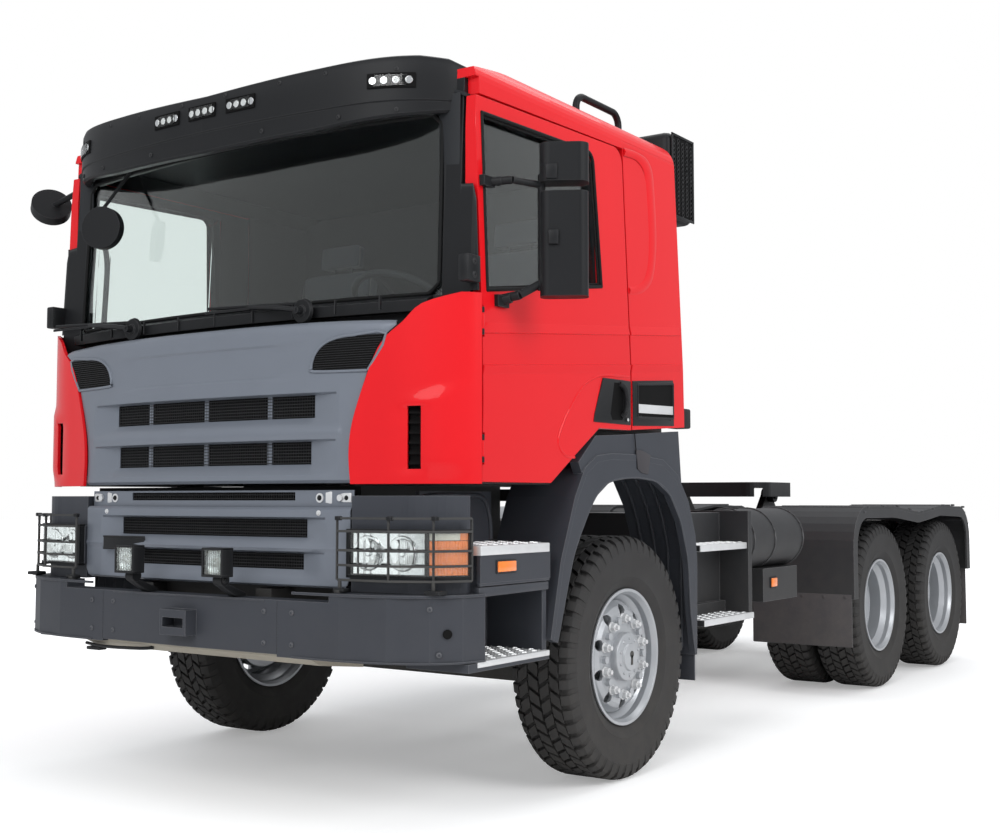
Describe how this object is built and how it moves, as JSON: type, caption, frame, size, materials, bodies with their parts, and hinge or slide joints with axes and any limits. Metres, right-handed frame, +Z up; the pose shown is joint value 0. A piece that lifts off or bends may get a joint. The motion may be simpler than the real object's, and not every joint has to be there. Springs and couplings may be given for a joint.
{
  "type": "semi truck tractor unit",
  "caption": "Cab-over semi truck tractor with a tilting hollow cab, opening doors and grille lid, steered front wheels, twin-tyred drive axles and a tipping fifth wheel.",
  "frame": {"origin": "on the ground, at the middle of the bounding box", "axes": "-Y is the front of the vehicle, +X its left side, +Z up"},
  "size_m": [3.0537, 6.992, 3.135],
  "materials": {
    "chassis_paint": "satin dark grey chassis paint",
    "axle_paint": "satin black paint",
    "engine_block": "painted casting",
    "dark_plastic": "moulded slate grey plastic",
    "black_plastic": "moulded black plastic",
    "grille_grey": "satin blue-grey",
    "cab_red": "gloss red paint",
    "glass": "lightly tinted",
    "lamp": "clear lens over reflector",
    "lamp_red": "red lens",
    "shield": "dusty plate",
    "tank": "brushed aluminium",
    "silencer_steel": "brushed heat shield",
    "air_tank": "satin dark grey paint",
    "interior": "moulded grey trim",
    "seat_fabric": "woven grey fabric",
    "cab_structure": "black",
    "rim_steel": "silver paint",
    "tyre": "rubber",
    "coupling_black": "black paint over casting, greased top",
    "flap_rubber": "ribbed dark plastic and rubber"
  },
  "bodies": {
    "chassis": {"ladder_frame": "chassis_paint", "front_axle": "axle_paint", "drive_axles": "axle_paint", "leaf_springs": "axle_paint", "propshafts": "axle_paint", "engine": "engine_block", "bumper": "dark_plastic", "undershield": "shield", "headlamps": "lamp", "headlamp_guards": "black_plastic", "work_lamps": "black_plastic", "lower_grille": "grille_grey", "entry_steps": "dark_plastic", "front_fenders": "dark_plastic", "battery_box": "dark_plastic", "air_tanks": "air_tank", "fuel_tank": "tank", "silencer": "silencer_steel", "rear_mudguards": "flap_rubber", "fifth_wheel_base": "coupling_black", "tail_lamps": "lamp_red"},
    "cab": {"cab_floor": "interior", "cab_back_wall": "cab_red", "cab_sides": "cab_red", "cab_roof": "cab_red", "cab_front_frame": "cab_structure", "corner_panels": "cab_red", "windscreen": "glass", "sun_visor": "black_plastic", "dashboard": "interior", "seats": "seat_fabric", "air_intake": "black_plastic", "roof_rail": "black_plastic", "wipers": "black_plastic", "front_mirror": "black_plastic"},
    "door_left": {"door_left": "cab_red", "door_glass_left": "glass", "mirrors_left": "black_plastic"},
    "door_right": {"door_right": "cab_red", "door_glass_right": "glass", "mirrors_right": "black_plastic"},
    "grille_lid": {"front_grille": "grille_grey"},
    "steering_wheel": {"steering_wheel": "black_plastic"},
    "knuckle_left": {"knuckle_left": "axle_paint"},
    "knuckle_right": {"knuckle_right": "axle_paint"},
    "fifth_wheel": {"fifth_wheel": "coupling_black"},
    "wheel_front_left": {"rim_front_left": "rim_steel", "tyre_front_left": "tyre"},
    "wheel_front_right": {"rim_front_right": "rim_steel", "tyre_front_right": "tyre"},
    "wheel_mid_left": {"rim_mid_left": "rim_steel", "tyre_mid_left": "tyre"},
    "wheel_mid_right": {"rim_mid_right": "rim_steel", "tyre_mid_right": "tyre"},
    "wheel_rear_left": {"rim_rear_left": "rim_steel", "tyre_rear_left": "tyre"},
    "wheel_rear_right": {"rim_rear_right": "rim_steel", "tyre_rear_right": "tyre"}
  },
  "joints": [
    {"name": "cab_tilt", "type": "hinge", "parent": "chassis", "child": "cab", "pos_m": [0, -3.164, 1.1], "axis": [1, 0, 0], "range_deg": [0, 60]},
    {"name": "door_left_hinge", "type": "hinge", "parent": "cab", "child": "door_left", "pos_m": [1.23, -3.064, 1.66], "axis": [0, 0, -1], "range_deg": [0, 75]},
    {"name": "door_right_hinge", "type": "hinge", "parent": "cab", "child": "door_right", "pos_m": [-1.23, -3.064, 1.66], "axis": [0, 0, 1], "range_deg": [0, 75]},
    {"name": "grille_lid_hinge", "type": "hinge", "parent": "cab", "child": "grille_lid", "pos_m": [0, -3.276, 1.905], "axis": [-1, 0, 0], "range_deg": [0, 70]},
    {"name": "steering_column", "type": "hinge", "parent": "cab", "child": "steering_wheel", "pos_m": [0.56, -2.694, 2.05], "axis": [0, 0.5299, 0.848], "range_deg": [-684, 684]},
    {"name": "steer_left", "type": "hinge", "parent": "chassis", "child": "knuckle_left", "pos_m": [0.965, -1.904, 0.535], "axis": [0, 0, 1], "range_deg": [-38, 38]},
    {"name": "steer_right", "type": "hinge", "parent": "chassis", "child": "knuckle_right", "pos_m": [-0.965, -1.904, 0.535], "axis": [0, 0, 1], "range_deg": [-38, 38]},
    {"name": "roll_front_left", "type": "hinge", "parent": "knuckle_left", "child": "wheel_front_left", "pos_m": [1.068, -1.904, 0.535], "axis": [1, 0, 0], "continuous": true},
    {"name": "roll_front_right", "type": "hinge", "parent": "knuckle_right", "child": "wheel_front_right", "pos_m": [-1.068, -1.904, 0.535], "axis": [1, 0, 0], "continuous": true},
    {"name": "roll_mid_left", "type": "hinge", "parent": "chassis", "child": "wheel_mid_left", "pos_m": [0.88, 1.546, 0.535], "axis": [1, 0, 0], "continuous": true},
    {"name": "roll_mid_right", "type": "hinge", "parent": "chassis", "child": "wheel_mid_right", "pos_m": [-0.88, 1.546, 0.535], "axis": [1, 0, 0], "continuous": true},
    {"name": "roll_rear_left", "type": "hinge", "parent": "chassis", "child": "wheel_rear_left", "pos_m": [0.88, 2.896, 0.535], "axis": [1, 0, 0], "continuous": true},
    {"name": "roll_rear_right", "type": "hinge", "parent": "chassis", "child": "wheel_rear_right", "pos_m": [-0.88, 2.896, 0.535], "axis": [1, 0, 0], "continuous": true},
    {"name": "fifth_wheel_pitch", "type": "hinge", "parent": "chassis", "child": "fifth_wheel", "pos_m": [0, 1.696, 1.26], "axis": [1, 0, 0], "range_deg": [-12, 12]}
  ],
  "couplings": [
    {"joint": "steer_right", "follows": "steer_left", "ratio": 1},
    {"joint": "steering_column", "follows": "steer_left", "ratio": 18}
  ]
}
